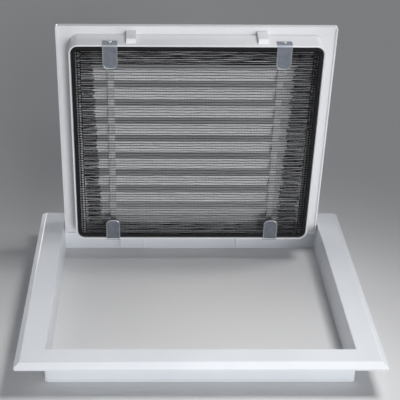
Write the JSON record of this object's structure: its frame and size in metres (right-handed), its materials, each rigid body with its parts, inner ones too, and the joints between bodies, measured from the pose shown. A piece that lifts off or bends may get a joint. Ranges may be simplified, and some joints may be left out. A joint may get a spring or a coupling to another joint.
{
  "type": "hinged louvered vent cover",
  "caption": "Hinged return-air vent cover: flanged frame with a neck, and a louvered door that opens to reach its black mesh filter, held by bent metal clips.",
  "frame": {"origin": "centre of the neck's foot, on the surface that the cover stands on", "axes": "+Z from the neck's foot to the room face, +X along the hinge to the right, +Y from the free edge of the opening to the hinge"},
  "size_m": [0.42, 0.39, 0.3408],
  "materials": {
    "frame_plastic": "white moulded plastic, satin gloss",
    "door_plastic": "white moulded plastic, satin gloss",
    "slat_plastic": "white moulded plastic, satin",
    "filter_black": "black plastic rim",
    "mesh_black": "black woven net",
    "clip_steel": "dull zinc-plated sheet steel",
    "screw_steel": "plated steel"
  },
  "bodies": {
    "frame_body": {"frame": "frame_plastic", "hinge_pin_left": "screw_steel", "hinge_pin_right": "screw_steel"},
    "door_body": {"door": "door_plastic", "slat_1": "slat_plastic", "slat_2": "slat_plastic", "slat_3": "slat_plastic", "slat_4": "slat_plastic", "slat_5": "slat_plastic", "slat_6": "slat_plastic", "slat_7": "slat_plastic", "slat_8": "slat_plastic", "slat_9": "slat_plastic", "slat_10": "slat_plastic", "tie_strip_left": "slat_plastic", "tie_strip_right": "slat_plastic", "filter_rim": "filter_black", "filter_mesh": "mesh_black", "clip_front_left": "clip_steel", "clip_front_right": "clip_steel", "clip_rear_left": "clip_steel", "clip_rear_right": "clip_steel", "clip_screws": "screw_steel"}
  },
  "joints": [
    {"name": "door_hinge", "type": "hinge", "parent": "frame_body", "child": "door_body", "pos_m": [0, 0.151, 0.0335], "axis": [1, 0, 0], "range_deg": [-14, 81]}
  ]
}
